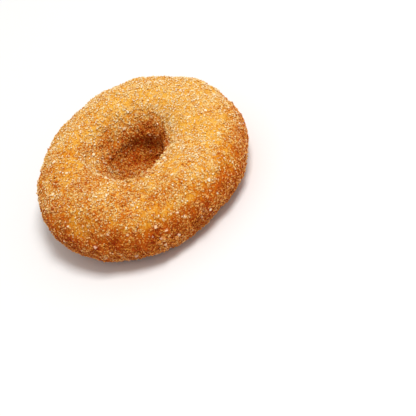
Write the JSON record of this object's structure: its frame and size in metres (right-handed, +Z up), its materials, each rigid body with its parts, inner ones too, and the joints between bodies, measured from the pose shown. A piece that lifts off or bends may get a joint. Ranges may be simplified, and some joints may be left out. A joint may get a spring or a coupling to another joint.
{
  "type": "sugared doughnut",
  "caption": "Ring doughnut of fried cake dough with an uneven golden crust, a crumpled hole and a coat of cinnamon sugar.",
  "frame": {"origin": "under the middle of the outline, on the surface that the doughnut lies on", "axes": "+Z up through the hole; the pictured near side faces -Y and the right side faces +X"},
  "size_m": [0.0872, 0.086, 0.0298],
  "materials": {
    "crust": "matte, golden brown fried dough, browner down the sides and in the hole",
    "sugar": "granulated sugar tinted by cinnamon, with a fine sparkle",
    "cinnamon": "matte ground cinnamon"
  },
  "bodies": {
    "root": {"doughnut": "crust"}
  },
  "joints": []
}
